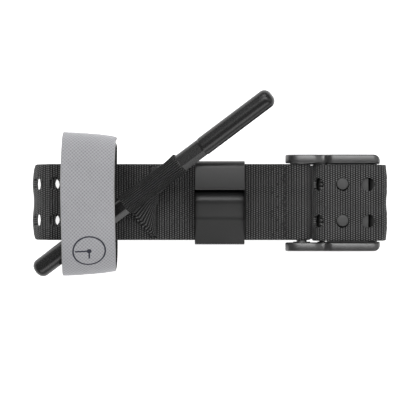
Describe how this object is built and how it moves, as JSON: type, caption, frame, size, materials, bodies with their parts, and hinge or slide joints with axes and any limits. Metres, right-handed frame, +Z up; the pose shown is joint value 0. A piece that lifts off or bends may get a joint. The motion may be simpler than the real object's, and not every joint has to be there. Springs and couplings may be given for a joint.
{
  "type": "limb tourniquet",
  "caption": "Webbing limb tourniquet lying as a closed loop, with a twisting rod and its clip, a closing time strap and a pronged self-locking buckle.",
  "frame": {"origin": "centre of the face that the closed loop rests on, under the middle of the loop", "axes": "+X along the belt towards the buckle, +Y across the belt, +Z up from the resting face to the rod"},
  "size_m": [0.1779, 0.0918, 0.0843],
  "materials": {
    "webbing": "black nylon webbing, woven ribs across the strap",
    "band": "black ribbon, fine ribs",
    "time_strap": "light grey woven tape with a black back",
    "hook_and_loop": "black hook and loop",
    "moulded_plastic": "dark grey moulded nylon, fine spark texture",
    "rod_aluminium": "black anodised, fine turned grain",
    "buckle_metal": "black anodised, bead blasted",
    "prong_metal": "dark coated, smooth",
    "steel": "plain steel"
  },
  "bodies": {
    "base": {"belt_webbing": "webbing", "base_webbing": "webbing", "sleeve_back": "webbing", "stiffener_plate": "moulded_plastic", "band_left": "band", "band_right": "band", "band_rise": "band", "rod_clip": "moulded_plastic", "time_strap_back": "time_strap", "hook_patch": "hook_and_loop", "side_plate_lower": "buckle_metal", "side_plate_upper": "buckle_metal", "strap_bar": "steel", "rocker_pin": "steel", "top_plate": "moulded_plastic", "spring_anchor": "buckle_metal", "spring_lower": "steel", "spring_upper": "steel", "spring_guide_lower": "steel", "spring_guide_upper": "steel"},
    "windlass": {"windlass_rod": "rod_aluminium", "rod_pocket": "band"},
    "time_flap": {"time_strap_flap": "time_strap", "loop_patch": "hook_and_loop"},
    "carriage": {"carriage": "buckle_metal", "roller_pin": "steel"},
    "roller": {"roller_sleeve": "steel"},
    "rocker": {"prong_rocker": "buckle_metal", "prong_lower": "prong_metal", "prong_upper": "prong_metal"}
  },
  "joints": [
    {"name": "rod_turn", "type": "hinge", "parent": "base", "child": "windlass", "pos_m": [-0.028, 0.0088, 0.0668], "axis": [0, 0, 1], "range_deg": [-50, 1], "deforming": ["band_rise"]},
    {"name": "time_flap_hinge", "type": "hinge", "parent": "base", "child": "time_flap", "pos_m": [-0.05955, -0.03585, 0.06115], "axis": [1, 0, 0], "range_deg": [0, 130]},
    {"name": "carriage_slide", "type": "slide", "parent": "base", "child": "carriage", "axis": [1, 0, 0], "range_m": [0, 0.003], "stiffness_N_per_m": 2000, "springref_m": -0.001, "deforming": ["spring_lower", "spring_upper"]},
    {"name": "roller_spin", "type": "hinge", "parent": "carriage", "child": "roller", "pos_m": [0.0566, -0.00045, 0.043], "axis": [0, 1, 0], "continuous": true},
    {"name": "rocker_tilt", "type": "hinge", "parent": "base", "child": "rocker", "pos_m": [0.0824, -0.00045, 0.0476], "axis": [0, 1, 0], "range_deg": [0, 5]}
  ],
  "couplings": [
    {"joint": "rocker_tilt", "follows": "carriage_slide", "rad_per_m": 29.089}
  ]
}
